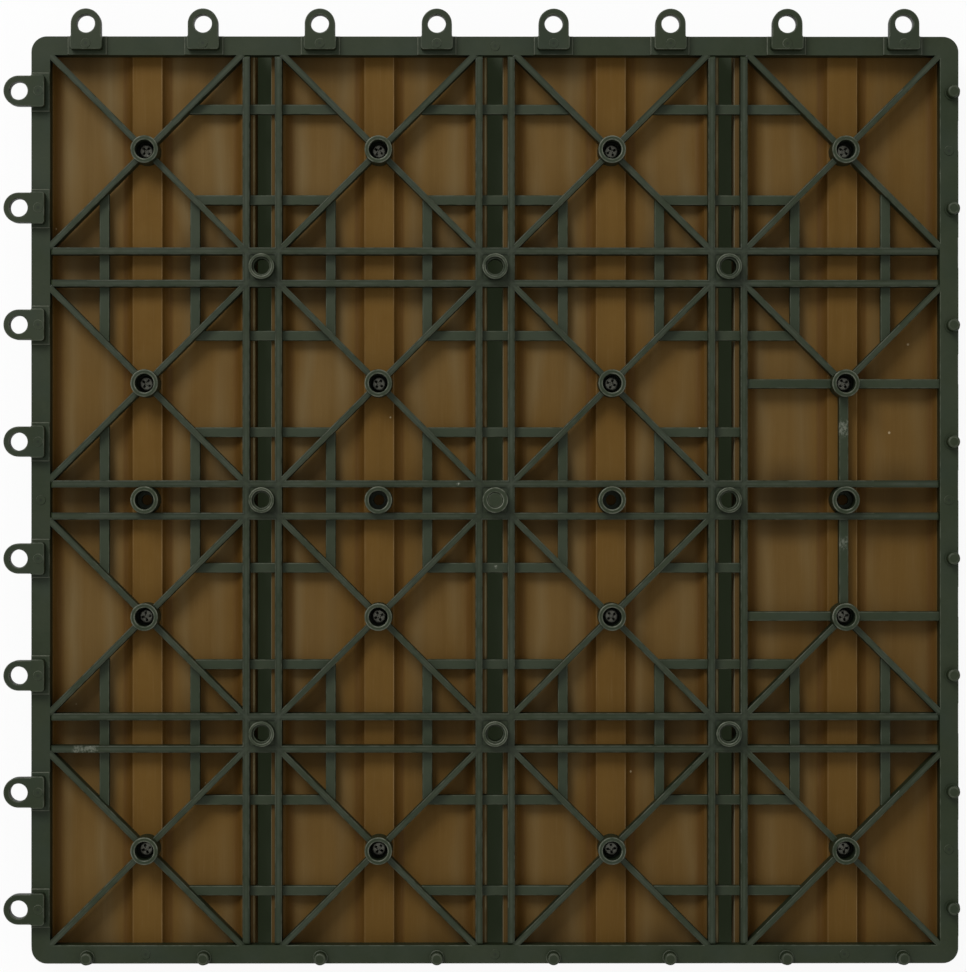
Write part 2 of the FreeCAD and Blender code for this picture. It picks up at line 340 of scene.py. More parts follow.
def make_scuff():
    """A small rubbed patch with a ragged outline, round one point."""
    tree, given, out = new_group(
        "scuff", "ShaderNodeTree",
        [("Vector", "NodeSocketVector", None), ("Centre", "NodeSocketVector", None),
         ("Radius", "NodeSocketFloat", 0.003), ("Strength", "NodeSocketFloat", 0.6),
         ("Ragged", "NodeSocketFloat", 0.5)],
        [("Mask", "NodeSocketFloat")])
    away = vector_math(tree, "DISTANCE", given["Vector"], given["Centre"]).outputs["Value"]
    inside = spread(tree, math_node(tree, "DIVIDE", away, given["Radius"]), 0.0, 1.0, 1.0, 0.0)
    core = times(tree, inside, 0.8)
    mask = spread(tree, math_node(tree, "ADD", core, given["Ragged"]), 0.65, 1.35)
    mask = times(tree, mask, spread(tree, inside, 0.0, 0.3), given["Strength"])
    tree.links.new(mask, out["Mask"])
    return tree


def make_rib_crown_shading():
    """The painted shading of a rounded top on the straight and the diagonal ribs: painted shade on
    its sides and a painted highlight along its middle."""
    tree, given, out = new_group(
        "rib_crown_shading", "ShaderNodeTree",
        [("Vector", "NodeSocketVector", None), ("Middle X", "NodeSocketFloat", 0.0),
         ("Middle Y", "NodeSocketFloat", 0.0), ("Pitch", "NodeSocketFloat", 0.075),
         ("Rib Offset", "NodeSocketFloat", 0.0052), ("Rib Width", "NodeSocketFloat", 0.0023)],
        [("Side", "NodeSocketFloat"), ("Crown Highlight", "NodeSocketFloat")])
    place = parts_of(tree, given["Vector"])
    half_pitch = times(tree, given["Pitch"], 0.5)
    half_width = times(tree, given["Rib Width"], 0.5)
    x = from_line(tree, place["X"], given["Middle X"], half_pitch)
    y = from_line(tree, place["Y"], given["Middle Y"], half_pitch)
    slant = times(tree, math_node(tree, "SUBTRACT", x, y), math.sqrt(0.5))
    lines = [math_node(tree, "SUBTRACT", x, given["Rib Offset"]),
             math_node(tree, "SUBTRACT", y, given["Rib Offset"]), slant]
    side, crown = 0.0, 0.0
    for line in lines:
        apart = math_node(tree, "DIVIDE", math_node(tree, "ABSOLUTE", line), half_width)
        inside = math_node(tree, "LESS_THAN", apart, 1.05)
        outer = times(tree, inside, spread(tree, apart, 0.35, 0.95))
        side = larger(tree, outer, side)
        crown = larger(tree, spread(tree, apart, 0.05, 0.5, 1.0, 0.0), crown)
    height = math_node(tree, "SUBTRACT", place["Z"], RIB_Z - 0.2 * MM)
    top = times(tree, math_node(tree, "GREATER_THAN", height, 0.0),
                math_node(tree, "LESS_THAN", height, 0.3 * MM))
    tree.links.new(times(tree, side, top), out["Side"])
    tree.links.new(times(tree, crown, top), out["Crown Highlight"])
    return tree


def make_slat_zones():
    """How far a point lies from the middle line of its slat, with a sign, and without one."""
    tree, given, out = new_group(
        "slat_zones", "ShaderNodeTree",
        [("Vector", "NodeSocketVector", None), ("Middle", "NodeSocketFloat", 0.0),
         ("Pitch", "NodeSocketFloat", 0.075)],
        [("Signed", "NodeSocketFloat"), ("Plain", "NodeSocketFloat")])
    half = times(tree, given["Pitch"], 0.5)
    from_middle = math_node(tree, "SUBTRACT", parts_of(tree, given["Vector"])["X"], given["Middle"])
    from_slat = math_node(tree, "SUBTRACT", from_middle, half)
    limits = {0: from_slat, 1: half, 2: times(tree, half, -1.0)}
    signed = put(tree, "ShaderNodeMath", limits, operation="WRAP").outputs[0]
    tree.links.new(signed, out["Signed"])
    tree.links.new(math_node(tree, "ABSOLUTE", signed), out["Plain"])
    return tree


MOTTLE = make_mottle()
EDGE_WEAR_AND_GLINT = make_edge_wear_and_glint()
DUST = make_dust()
SCUFF = make_scuff()
RIB_CROWN_SHADING = make_rib_crown_shading()
SLAT_ZONES = make_slat_zones()


# Finishes

def new_finish(name):
    """A material with its shader, and the object's own coordinates."""
    material = bpy.data.materials.new(name)
    material.use_nodes = True
    tree = material.node_tree
    shader = tree.nodes["Principled BSDF"]
    place = tree.nodes.new("ShaderNodeTexCoord").outputs["Object"]
    return material, tree, shader, place


def join(tree, shader, **sockets):
    """Links outputs to the shader's sockets, with _ in a name for a space."""
    for key, value in sockets.items():
        tree.links.new(value, shader.inputs[key.replace("_", " ")])


def uneven(tree, fine, fine_share, coarse, strength, depth):
    """The normal of a surface with fine and coarse unevenness."""
    height = math_node(tree, "ADD", times(tree, fine, fine_share), coarse)
    inputs = {"Strength": strength, "Distance": depth, "Height": height}
    return put(tree, "ShaderNodeBump", inputs).outputs[0]


def off_middle(tree, place):
    """How far a point lies from the tile's middle along X or Y, whichever is more."""
    away = vector_math(tree, "ABSOLUTE", vector_math(tree, "SUBTRACT", place, MIDDLE).outputs[0])
    parts = parts_of(tree, away.outputs[0])
    return larger(tree, parts["X"], parts["Y"])


# The base's plastic, one layer of colour after another

def with_ribs(tree, place, colour):
    """Painted shade on the sides and a painted highlight, broken by noise, along the middle of the
    top of each rib inside the border.
    """
    ribs = effect(tree, RIB_CROWN_SHADING, {"Vector": place, "Middle X": MIDDLE.x, "Middle Y": MIDDLE.y})
    within = math_node(tree, "LESS_THAN", off_middle(tree, place), INNER_HALF)
    colour = mixed(tree, times(tree, ribs["Side"], within, 0.62), colour, RIB_SIDE_SHADE)
    crown_glint = spread(tree, noise(tree, place, 150.0, 3.0), 0.38, 0.62, 0.1, 0.6)
    return mixed(tree, times(tree, ribs["Crown Highlight"], within, crown_glint), colour, RIB_MIDDLE_HIGHLIGHT)


def with_step_rim_highlights(tree, place, colour):
    """A painted highlight on the rim of the low step under each pad, across the border."""
    half_clip = SLAT_PITCH / 4
    parts = parts_of(tree, place)
    rim_highlights = []
    for axis, middle in (("X", MIDDLE.x), ("Y", MIDDLE.y)):
        along = from_line(tree, parts[axis], middle + half_clip, half_clip)
        rim_highlights.append(stripe(tree, along, PAD_STEP_HALF - 0.35 * MM, PAD_STEP_HALF + 0.1 * MM,
                           0.08 * MM))
    level = stripe(tree, parts["Z"], PAD_STEP_Z - 0.3 * MM, PAD_STEP_Z + 0.1 * MM, 0.02 * MM)
    return mixed(tree, times(tree, larger(tree, rim_highlights[0], rim_highlights[1]), level, 0.30), colour, STEP_RIM_HIGHLIGHT)


def with_wear_and_glint(tree, place, colour):
    """Rubbed edges, which also carry a painted highlight, dark middles in the ejector marks, and
    dust.
    """
    worn_glint = effect(tree, EDGE_WEAR_AND_GLINT, {"Vector": place, "Break Size": 0.0026,
                                    "Low Height": GROUND_Z - 0.4 * MM,
                                    "High Height": GROUND_Z - 0.15 * MM,
                                    "Low Wear": 0.24, "High Wear": 0.62})
    colour = mixed(tree, worn_glint["Mask"], colour, PLASTIC_WEAR_GLINT)
    pit = put(tree, "ShaderNodeAttribute", attribute_name="pit").outputs["Fac"]
    colour = mixed(tree, times(tree, pit, 0.55), colour, MARK_PIT)
    dust = effect(tree, DUST, {"Vector": place, "Speck Spacing": 0.007, "Speck Share": 0.04,
                               "Film": 0.03})
    return mixed(tree, dust["Mask"], colour, PLASTIC_DUST)


def with_scuffs(tree, place, colour):
    """The rubbed places that SCUFFS lists."""
    ragged = long_noise(tree, place, (1500.0, 900.0, 1500.0), 3.0, 0.75)
    ragged = spread(tree, ragged, 0.40, 0.62)
    mask = 0.0
    for centre, radius, strength in SCUFFS:
        scuff = effect(tree, SCUFF, {"Vector": place, "Centre": centre, "Radius": radius,
                                     "Strength": strength, "Ragged": ragged})
        mask = larger(tree, scuff["Mask"], mask)
    return mixed(tree, mask, colour, PLASTIC_SCUFF)


def make_base_plastic():
    """Satin green-black moulded polypropylene: painted shade on the walls, paler straps, painted
    shade and highlight on the ribs, painted highlight on the rims of the low steps, rubbed edges
    that also carry painted highlight, dust and a few scuffs."""
    material, tree, shader, place = new_finish("base_plastic")
    shader.inputs["Specular IOR Level"].default_value = 0.22
    patch = effect(tree, MOTTLE, {"Vector": place, "Patch Size": 0.02, "Grain Size": 0.0011,
                                  "Grain Share": 0.45})["Value"]
    colour = mixed(tree, patch, PLASTIC_DARK, PLASTIC_PALE)
    cool = spread(tree, noise(tree, place, 60.0, 2.0), 0.45, 0.7, 0.0, 0.6)
    colour = mixed(tree, cool, colour, PLASTIC_COOL)
    upward = facing_parts(tree)["Z"]
    # Painted shade: steep walls are darker than what faces up
    colour = mixed(tree, spread(tree, upward, 0.15, 0.8, 0.45, 0.0), colour, PLASTIC_WALL_SHADE)
    colour = with_ribs(tree, place, colour)
    low = spread(tree, parts_of(tree, place)["Z"], LOW_Z, LOW_Z + 1.5 * MM, 0.5, 0.0)
    colour = mixed(tree, times(tree, low, spread(tree, upward, 0.5, 0.9)), colour, STRAP_TOP)
    colour = with_step_rim_highlights(tree, place, colour)
    colour = with_wear_and_glint(tree, place, colour)
    colour = with_scuffs(tree, place, colour)
    rough = spread(tree, patch, 0.0, 1.0, 0.42, 0.58)
    grain = noise(tree, place, 2600.0, 2.0)
    flow = noise(tree, place, 220.0, 3.0)
    normal = uneven(tree, grain, 0.4, flow, 0.35, 0.06 * MM)
    join(tree, shader, Base_Color=colour, Roughness=rough, Normal=normal)
    return material


# The slats' wood-plastic, one layer of colour after another

def slat_places(tree, place):
    """Where a point lies on its slat, and how far the surface faces up and along."""
    zones = effect(tree, SLAT_ZONES, {"Vector": place, "Middle": OFF_CENTRE, "Pitch": SLAT_PITCH})
    facing = facing_parts(tree)
    return {"place": place, "axes": parts_of(tree, place), "signed": zones["Signed"],
            "apart": zones["Plain"], "upward": spread(tree, facing["Z"], 0.1, 0.3),
            "endward": math_node(tree, "ABSOLUTE", facing["Y"])}


def with_painted_sheen(tree, at, clouds, colour):
    """Painted reflection: soft greyish sheen that wanders along the channels. It fades towards one
    corner of the tile, where the brown is darker as painted shade."""
    wander = long_noise(tree, at["place"], (26.0, 15.0, 26.0), 2.0)
    drift = spread(tree, wander, 0.3, 0.7, -3.0 * MM, 3.0 * MM)
    drifted = math_node(tree, "ADD", at["apart"], drift)
    sheen = larger(tree, stripe(tree, drifted, 10.0 * MM, 15.0 * MM, 2.6 * MM),
                   stripe(tree, drifted, 22.0 * MM, 27.5 * MM, 2.6 * MM))
    whole = stripe(tree, at["apart"], 9.0 * MM, 27.0 * MM, 3.0 * MM)
    sheen = larger(tree, sheen, times(tree, whole, 0.40))
    across = math_node(tree, "SUBTRACT", at["axes"]["Y"], at["axes"]["X"])
    corner = spread(tree, across, -0.20, 0.20)
    sheen = times(tree, sheen, spread(tree, clouds, 0.30, 0.60, 0.15, 1.0),
                  spread(tree, corner, 0.0, 1.0, 0.45, 0.95), at["upward"])
    colour = mixed(tree, spread(tree, corner, 0.0, 0.7, 0.5, 0.0), colour, COMPOSITE_CORNER_SHADE)
    return mixed(tree, sheen, colour, COMPOSITE_SHEEN)


def with_channel_side_shade(tree, at, colour):
    """Painted shade: redder, darker sides of the channels."""
    side = stripe(tree, at["apart"], BAND_HALF, BAND_HALF + 3.2 * MM, 0.5 * MM)
    outer = SLAT_HALF - LAND
    far_side_shade = stripe(tree, at["apart"], outer - 2.6 * MM, outer, 0.8 * MM)
    side_shade = times(tree, larger(tree, side, far_side_shade), 0.75, at["upward"])
    return mixed(tree, side_shade, colour, CHANNEL_SIDE_SHADE)


def with_grain(tree, streaks, threads, colour):
    """Dark streaks and pale threads along the slats."""
    colour = mixed(tree, spread(tree, streaks, 0.42, 0.75, 0.0, 0.22), colour, DARK_STREAK)
    return mixed(tree, spread(tree, threads, 0.55, 0.8, 0.0, 0.16), colour, PALE_THREAD)


def with_band_rim_highlights(tree, at, broken, colour):
    """Painted highlight: a pale line along one edge of the middle band and a fainter one along the
    other.
    """
    rim_highlight = stripe(tree, at["signed"], BAND_HALF - 0.28 * MM, BAND_HALF, 0.06 * MM)
    faint_highlight = stripe(tree, at["signed"], -BAND_HALF, -BAND_HALF + 0.35 * MM, 0.08 * MM)
    rim_highlights = larger(tree, rim_highlight, times(tree, faint_highlight, 0.4))
    return mixed(tree, times(tree, rim_highlights, at["upward"], broken, 0.5), colour, BAND_RIM_HIGHLIGHT)


def with_land_shade_and_dust(tree, at, colour):
    """Painted shade on the lands between the channels and the slats' edges, and specks of dust."""
    outer = SLAT_HALF - LAND
    land_shade = spread(tree, at["apart"], outer - 0.5 * MM, outer + 1.5 * MM)
    colour = mixed(tree, times(tree, land_shade, at["upward"], 0.45), colour, LAND_SHADE)
    dust = effect(tree, DUST, {"Vector": at["place"], "Speck Spacing": 0.006,
                               "Speck Share": 0.03, "Film": 0.0})
    return mixed(tree, dust["Mask"], colour, COMPOSITE_DUST)


def with_under_rib_shade(tree, at, clouds, colour):
    """Painted shade: dark blotches in the channels near the cross ribs."""
    from_rib = from_line(tree, at["axes"]["Y"], -OFF_CENTRE, SLAT_PITCH / 2)
    near_rib = spread(tree, from_rib, 6.0 * MM, 15.0 * MM, 1.0, 0.0)
    rib_shade = times(tree, near_rib, stripe(tree, at["apart"], 12.0 * MM, 25.0 * MM, 5.0 * MM),
                   at["upward"], spread(tree, clouds, 0.3, 0.6, 0.35, 1.0), 0.65)
    return mixed(tree, rib_shade, colour, UNDER_RIB_SHADE)


def with_gap_edge_highlights(tree, at, broken, colour):
    """Painted highlight: a pale broken rim on one edge of each slat, and a pale upper side wall in
    each gap, painted as lit.
    """
    rim_highlight = stripe(tree, at["signed"], SLAT_HALF - 0.85 * MM, SLAT_HALF - 0.25 * MM, 0.10 * MM)
    colour = mixed(tree, times(tree, rim_highlight, broken, at["upward"], 0.60), colour, EDGE_RIM_HIGHLIGHT)
    lit_wall = spread(tree, at["signed"], 0.1 * MM - SLAT_HALF, 0.35 * MM - SLAT_HALF, 0.6, 0.0)
    inner = math_node(tree, "GREATER_THAN", at["axes"]["X"], MIDDLE.x - 1.5 * SLAT_PITCH)
    upper = spread(tree, at["axes"]["Z"], 4.0 * MM, 9.0 * MM)
    return mixed(tree, times(tree, lit_wall, inner, upper), colour, GAP_SIDE_LIGHT)


def with_sawn_ends(tree, at, colour):
    """Paler rough ends, where the saw cut the slats to length."""
    sawn = spread(tree, at["endward"], 0.8, 0.95)
    chips = long_noise(tree, at["place"], (1400.0, 1400.0, 2200.0), 3.0, 0.7)
    sawn = times(tree, sawn, spread(tree, chips, 0.35, 0.65, 0.0, 0.7))
    return mixed(tree, sawn, colour, SAWN_END)


def make_slat_composite():
    """Brown extruded wood-plastic with lengthwise grain, under painted sheen, shade and highlights.
    """
    material, tree, shader, place = new_finish("slat_composite")
    shader.inputs["Specular IOR Level"].default_value = 0.12
    at = slat_places(tree, place)
    streaks = long_noise(tree, place, (260.0, 7.0, 260.0), 3.0, 0.55)
    threads = long_noise(tree, place, (2400.0, 70.0, 2400.0), 3.0, 0.6)
    clouds = long_noise(tree, place, (34.0, 17.0, 34.0), 2.0)
    broken = spread(tree, long_noise(tree, place, (40.0, 90.0, 40.0)), 0.35, 0.6, 0.3, 1.0)
    patch = effect(tree, MOTTLE, {"Vector": place, "Patch Size": 0.016, "Grain Size": 0.002,
                                  "Grain Share": 0.2})["Value"]
    colour = mixed(tree, patch, COMPOSITE_DARK, COMPOSITE_PALE)
    colour = with_painted_sheen(tree, at, clouds, colour)
    colour = with_channel_side_shade(tree, at, colour)
    colour = with_grain(tree, streaks, threads, colour)
    colour = with_band_rim_highlights(tree, at, broken, colour)
    colour = with_land_shade_and_dust(tree, at, colour)
    colour = with_under_rib_shade(tree, at, clouds, colour)
    colour = with_gap_edge_highlights(tree, at, broken, colour)
    colour = with_sawn_ends(tree, at, colour)
    rough = spread(tree, streaks, 0.3, 0.7, 0.55, 0.72)
    normal = uneven(tree, threads, 0.5, streaks, 0.4, 0.1 * MM)
    join(tree, shader, Base_Color=colour, Roughness=rough, Normal=normal)
    return material


# Steel and floor

def make_screw_steel():
    """Dark passivated steel with brighter rubbed edges, which also carry a painted highlight."""
    material, tree, shader, place = new_finish("screw_steel")
    shader.inputs["Metallic"].default_value = 0.9
    patch = effect(tree, MOTTLE, {"Vector": place, "Patch Size": 0.002,
                                  "Grain Size": 0.0005})["Value"]
    worn_glint = effect(tree, EDGE_WEAR_AND_GLINT, {"Vector": place, "Break Size": 0.001, "Low Wear": 0.9,
                                    "High Wear": 0.9})
    colour = mixed(tree, patch, STEEL_DARK, STEEL_PALE)
    colour = mixed(tree, worn_glint["Mask"], colour, STEEL_WEAR_GLINT)
    rough = spread(tree, patch, 0.0, 1.0, 0.30, 0.52)
    join(tree, shader, Base_Color=colour, Roughness=rough)
    return material


def make_floor_finish():
    """Plain pale floor, a little brighter to the camera and to reflections than its own white, and
    with painted shade under the slats, where no light gets in: a dark patch that glows dimly."""
    material, tree, shader, place = new_finish("pale_floor")
    shader.inputs["Roughness"].default_value = 0.9
    shade_patch = spread(tree, off_middle(tree, place), UNDER_TILE_HALF, UNDER_TILE_HALF + 0.8 * MM,
                   1.0, 0.0)
    shader.inputs["Emission Color"].default_value = FLOOR_UNDER_SHADE_GLOW
    join(tree, shader, Base_Color=mixed(tree, shade_patch, FLOOR_PALE, FLOOR_UNDER_SHADE),
         Emission_Strength=shade_patch)
    path = tree.nodes.new("ShaderNodeLightPath").outputs
    seen = larger(tree, path["Is Camera Ray"], path["Is Glossy Ray"])
    seen = larger(tree, seen, path["Is Transmission Ray"])
    seen = times(tree, seen, math_node(tree, "SUBTRACT", 1.0, shade_patch), 0.92)
    glow = put(tree, "ShaderNodeEmission", {"Color": WHITE, "Strength": 1.0})
    both = put(tree, "ShaderNodeMixShader", {0: seen, 1: shader.outputs[0], 2: glow.outputs[0]})
    tree.links.new(both.outputs[0], tree.nodes["Material Output"].inputs["Surface"])
    return material


BASE_PLASTIC = make_base_plastic()
SLAT_COMPOSITE = make_slat_composite()
SCREW_STEEL = make_screw_steel()


# General mesh work

def new_object(name, mesh):
    """An object at the origin that holds a mesh."""
    thing = bpy.data.objects.new(name, mesh)
    bpy.context.scene.collection.objects.link(thing)
    return thing


def is_ridge(edge, least_angle, lowest):
    """True for an outward edge that is sharp enough to round. Where a lowest height is given, the
    edge is also level and above it."""
    if not (edge.is_manifold and edge.is_convex and edge.calc_face_angle(0) > least_angle):
        return False
    if lowest is None:
        return True
    heights = [v.co.z for v in edge.verts]
    return min(heights) > lowest and max(heights) - min(heights) < LEVEL_WITHIN


def folded_corners(work):
    """Corners of the faces that fold over themselves: their triangles hold more than their area."""
    covered = {}
    for corners in work.calc_loop_triangles():
        first, second, third = (corner.vert.co for corner in corners)
        face = corners[0].face
        covered[face] = covered.get(face, 0.0) + (second - first).cross(third - first).length / 2
    folded = [face for face, area in covered.items() if area > 1.01 * face.calc_area() + 1e-10]
    return [v.co.copy() for face in folded for v in face.verts]


def nearness(places):
    """Finds how far a point lies from the nearest of some places."""
    tree = KDTree(len(places))
    for i, place in enumerate(places):
        tree.insert(place, i)
    tree.balance()
    return lambda point: tree.find(point)[2]


def even_normals(work, marks):
    """Normals of every face corner, which keep flat faces flat beside their rounded edges."""
    areas = [face.calc_area() for face in work.faces]
    normals = []
    work.faces.index_update()
    for face in work.faces:
        own = face.normal
        least = math.cos(ROUNDED_SHARE if face[marks] else FLAT_SHARE)
        for corner in face.loops:
            total = Vector((0, 0, 0))
            for other in corner.vert.link_faces:
                if other.normal.dot(own) > least:
                    total += other.normal * areas[other.index]
            normals.append(total.normalized() if total.length > 0 else own)
    return normals


def wear_and_glint_share(face):
    """How worn a rounded face looks and how much painted highlight it takes: little beside a wall,
    half beside a top, all in between.
    """
    level = abs(face.normal.z)
    if level < 0.5:
        return 0.1
    return 0.5 if level > 0.85 else 1.0


def soften(mesh, width, segments=3, least_angle=40.0, lowest=None):
    """Rounds a mesh's ridges and marks the rounded faces for the wear and its painted highlight. A
    ridge stays sharp where rounding it would fold a face over itself."""
    plain = bmesh.new()
    plain.from_mesh(mesh)
    if "edge" not in plain.faces.layers.float:
        plain.faces.layers.float.new("edge")
    limit = math.radians(least_angle)
    ridges = [i for i, edge in enumerate(plain.edges) if is_ridge(edge, limit, lowest)]
    for turn in range(ROUNDING_TRIES):
        work = plain.copy()
        work.edges.ensure_lookup_table()
        made = bmesh.ops.bevel(work, geom=[work.edges[i] for i in ridges], offset=width,
                               segments=segments, profile=0.5, affect="EDGES", material=-1,
                               clamp_overlap=False, loop_slide=False)
        folded = folded_corners(work)
        if not folded:
            break
        distance = nearness(folded)
        room = TRY_ROOM * (turn + 1)
        plain.edges.ensure_lookup_table()
        ridges = [i for i in ridges
                  if min(distance(v.co) for v in plain.edges[i].verts) > width + room]
    marks = work.faces.layers.float["edge"]
    for face in made["faces"]:
        face[marks] = wear_and_glint_share(face)
    for face in work.faces:
        face.smooth = True
    normals = even_normals(work, marks)
    work.to_mesh(mesh)
    mesh.normals_split_custom_set(normals)


def settle(thing):
    """Turns the object with its modifiers into a plain mesh."""
    graph = bpy.context.evaluated_depsgraph_get()
    finished = bpy.data.meshes.new_from_object(thing.evaluated_get(graph), depsgraph=graph)
    thing.modifiers.clear()
    thing.data = finished


def grow(thing, tree, values):
    """Runs a geometry tree on an object and keeps the result as its mesh."""
    modifier = thing.modifiers.new(tree.name, "NODES")
    modifier.node_group = tree
    for item in tree.interface.items_tree:
        if item.item_type == "SOCKET" and item.in_out == "INPUT" and item.name in values:
            modifier[item.identifier] = values[item.name]
    settle(thing)


def outline_mesh(name, points):
    """A closed outline of edges through points."""
    mesh = bpy.data.meshes.new(name)
    count = len(points)
    mesh.from_pydata(points, [(i, (i + 1) % count) for i in range(count)], [])
    return mesh


# Base

def part_wide_faces(work):
    """Parts the flat faces along even lines, through and between the bosses, feet and loops, so
    that no face holds many openings."""
    step = SLAT_PITCH / 2
    lines = [k * step for k in range(-4, 5)]
    lines += [(k + part) * step for k in range(-4, 4) for part in (0.25, 0.5)]
    for line in lines:
        for axis in (0, 1):
            point, across = MIDDLE.copy(), Vector((0, 0, 0))
            point[axis] += line
            across[axis] = 1.0
            everything = work.verts[:] + work.edges[:] + work.faces[:]
            made = bmesh.ops.bisect_plane(work, geom=everything, plane_co=point, plane_no=across,
                                          dist=0.001 * MM)
            for cut in made["geom_cut"]:
                if isinstance(cut, bmesh.types.BMEdge):
                    cut.seam = True
    bmesh.ops.dissolve_limit(work, angle_limit=FLAT_ANGLE, verts=work.verts, edges=work.edges,
                             delimit={"SEAM"})


def make_base():
    """The moulded base: the CAD form with its outward edges rounded, first on what stands on the
    ground, then lower down."""
    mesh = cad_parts["base_grid"].data.copy()
    mesh.materials.clear()
    mesh.materials.append(BASE_PLASTIC)
    work = bmesh.new()
    work.from_mesh(mesh)
    bmesh.ops.remove_doubles(work, verts=work.verts, dist=WELD)
    bmesh.ops.dissolve_limit(work, angle_limit=FLAT_ANGLE, verts=work.verts, edges=work.edges)
    part_wide_faces(work)
    work.to_mesh(mesh)
    work.free()
    soften(mesh, FOOT_ROUNDING, lowest=GROUND_Z - 0.05 * MM)
    soften(mesh, RIB_ROUNDING, lowest=SLAT_THICK + 0.05 * MM)
    base = new_object("moulded_base", mesh)
    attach(base, "root")
    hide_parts("base_grid")


# Slats

def rounded_outline(corners, steps=5):
    """Points round a closed outline whose corners are (x, y, radius)."""
    points = []
    count = len(corners)
    for i, (x, y, radius) in enumerate(corners):
        here = Vector((x, y))
        if radius == 0:
            points.append(here)
            continue
        before = (Vector(corners[i - 1][:2]) - here).normalized()
        after = (Vector(corners[(i + 1) % count][:2]) - here).normalized()
        half_angle = before.angle(after) / 2
        start = here + before * radius / math.tan(half_angle)
        end = here + after * radius / math.tan(half_angle)
        centre = here + (before + after).normalized() * radius / math.sin(half_angle)
        for k in range(steps + 1):
            arm = (start - centre).lerp(end - centre, k / steps).normalized() * radius
            points.append(centre + arm)
    return points


def slat_outline():
    """Section of a slat: grooved deck face below, two broad channels above."""
    outer, inner = SLAT_HALF - LAND, BAND_HALF
    floor = SLAT_THICK - CHANNEL_DEPTH
    right = [(SLAT_HALF, 0, DECK_EDGE), (SLAT_HALF, SLAT_THICK, UNDER_EDGE), (outer, SLAT_THICK, 0),
             (outer - CHANNEL_RUN, floor, CHANNEL_TOE), (inner + CHANNEL_RUN, floor, CHANNEL_TOE),
             (inner, SLAT_THICK, 0)]
    left = [(-x, z, radius) for x, z, radius in reversed(right)]
    grooves = []
    for i in range(GROOVE_COUNT):
        x = (i - (GROOVE_COUNT - 1) / 2) * GROOVE_PITCH
        grooves += [(x - GROOVE_MOUTH, 0, 0), (x - GROOVE_FLOOR, GROOVE_DEPTH, 0),
                    (x + GROOVE_FLOOR, GROOVE_DEPTH, 0), (x + GROOVE_MOUTH, 0, 0)]
    # A curve's section is laid out with its second axis downwards
    return [(p.x, -p.y, 0) for p in rounded_outline(right + left + grooves)]


def slat_tree():
    """Draws a section out along Y and repeats it side by side."""
    tree, given, out = new_group(
        "slat_run", "GeometryNodeTree",
        [("Section", "NodeSocketGeometry", None), ("Slat Length", "NodeSocketFloat", 0.3),
         ("Slat Pitch", "NodeSocketFloat", 0.075), ("Slat Count", "NodeSocketInt", 4),
         ("Finish", "NodeSocketMaterial", None)],
        [("Slats", "NodeSocketGeometry")])
    section = put(tree, "GeometryNodeMeshToCurve", {"Mesh": given["Section"]})
    half = times(tree, given["Slat Length"], 0.5)
    back = times(tree, half, -1.0)
    path = put(tree, "GeometryNodeCurvePrimitiveLine",
               {"Start": put(tree, "ShaderNodeCombineXYZ", {"Y": back}).outputs[0],
                "End": put(tree, "ShaderNodeCombineXYZ", {"Y": half}).outputs[0]})
    bar = put(tree, "GeometryNodeCurveToMesh",
              {"Curve": path.outputs[0], "Profile Curve": section.outputs[0], "Fill Caps": True})
    steps = math_node(tree, "SUBTRACT", given["Slat Count"], 1.0)
    first = times(tree, steps, given["Slat Pitch"], -0.5)
    row = put(tree, "GeometryNodeMeshLine",
              {"Count": given["Slat Count"],
               "Start Location": put(tree, "ShaderNodeCombineXYZ", {"X": first}).outputs[0],
               "Offset": put(tree, "ShaderNodeCombineXYZ", {"X": given["Slat Pitch"]}).outputs[0]})
    many = put(tree, "GeometryNodeInstanceOnPoints",
               {"Points": row.outputs[0], "Instance": bar.outputs[0]})
    real = put(tree, "GeometryNodeRealizeInstances", {"Geometry": many.outputs[0]})
    done = put(tree, "GeometryNodeSetMaterial",
               {"Geometry": real.outputs[0], "Material": given["Finish"]})
    tree.links.new(done.outputs[0], out["Slats"])
    return tree


def make_slats():
    """Four grooved slats side by side."""
    slats = new_object("deck_slats", outline_mesh("slat_section", slat_outline()))
    grow(slats, slat_tree(), {"Slat Length": SLAT_LENGTH, "Slat Pitch": SLAT_PITCH,
                              "Slat Count": SLAT_COUNT, "Finish": SLAT_COMPOSITE})
    slats.data.transform(Matrix.Translation(MIDDLE))
    work = bmesh.new()
    work.from_mesh(slats.data)
    bmesh.ops.remove_doubles(work, verts=work.verts, dist=WELD)
    bmesh.ops.recalc_face_normals(work, faces=work.faces)
    work.to_mesh(slats.data)
    work.free()
    soften(slats.data, SLAT_ROUNDING)
    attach(slats, "root")
    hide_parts("slat_1", "slat_2", "slat_3", "slat_4")


# Screws

def turned(name, profile, segments=32):
    """A closed mesh turned about Z from (radius, z) points that start and end on the axis."""
    work = bmesh.new()
    rings = []
    for radius, z in profile:
        if radius == 0:
            rings.append([work.verts.new((0, 0, z))])
            continue
        turns = [2 * math.pi * k / segments for k in range(segments)]
        points = [(radius * math.cos(turn), radius * math.sin(turn), z) for turn in turns]
        rings.append([work.verts.new(point) for point in points])
    for lower, upper in zip(rings, rings[1:]):
        for k in range(segments):
            n = (k + 1) % segments
            face = [lower[k % len(lower)], lower[n % len(lower)], upper[n % len(upper)],
                    upper[k % len(upper)]]
            work.faces.new([v for j, v in enumerate(face) if v not in face[:j]])
    bmesh.ops.recalc_face_normals(work, faces=work.faces)
    mesh = bpy.data.meshes.new(name)
    work.to_mesh(mesh)
    work.free()
    return mesh


